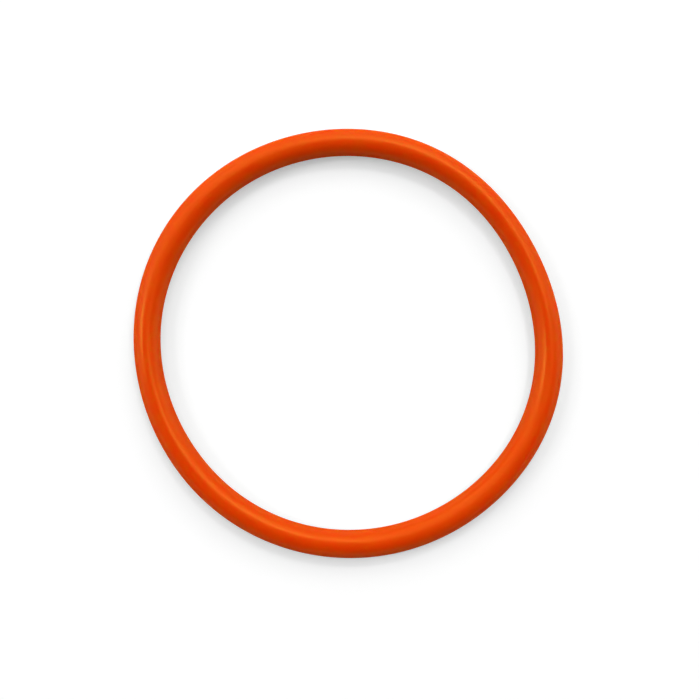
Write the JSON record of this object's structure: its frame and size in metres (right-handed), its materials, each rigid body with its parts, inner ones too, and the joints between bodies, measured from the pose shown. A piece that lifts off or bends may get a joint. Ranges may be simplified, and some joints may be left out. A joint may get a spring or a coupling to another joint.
{
  "type": "silicone o-ring",
  "caption": "Moulded silicone ring with a round section, for sealing a groove between two round or flat parts.",
  "frame": {"origin": "centre of the ring, on the plane where the two mould halves met", "axes": "+Z along the ring's axis, upwards as it lies flat; the ring is the same all round it"},
  "size_m": [0.048, 0.048, 0.003],
  "materials": {
    "silicone": "glossy moulded silicone rubber, orange-red, slightly translucent"
  },
  "bodies": {
    "root": {"o_ring": "silicone"}
  },
  "joints": []
}
